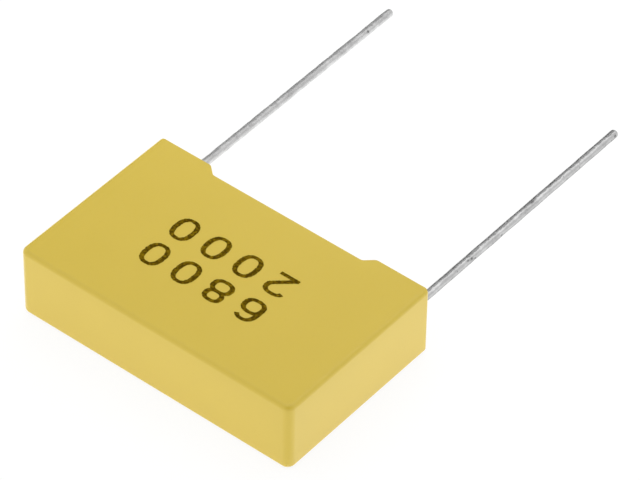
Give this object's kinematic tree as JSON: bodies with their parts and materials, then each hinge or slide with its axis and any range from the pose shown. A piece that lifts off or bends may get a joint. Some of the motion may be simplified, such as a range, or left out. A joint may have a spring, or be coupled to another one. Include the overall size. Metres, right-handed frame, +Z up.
{
  "type": "film capacitor",
  "caption": "Yellow moulded box film capacitor with standoff feet, a resin-potted flat film winding with sprayed ends, and straight round wire leads for board mounting.",
  "frame": {"origin": "centre of the broad face that the case lies on", "axes": "+X along the length of the case and the row of leads, +Y along the leads from the closed end to their tips, +Z up through the thickness"},
  "size_m": [0.0264, 0.0429, 0.0065],
  "materials": {
    "case_plastic": "satin, moulded",
    "potting_resin": "cast, semi-gloss",
    "metallised_film": "metallised",
    "sprayed_zinc": "sprayed, rough",
    "tinned_wire": "tinned, satin"
  },
  "bodies": {
    "root": {"case": "case_plastic", "potting": "potting_resin", "film_winding": "metallised_film", "end_spray_left": "sprayed_zinc", "end_spray_right": "sprayed_zinc", "lead_left": "tinned_wire", "lead_right": "tinned_wire"}
  },
  "joints": []
}
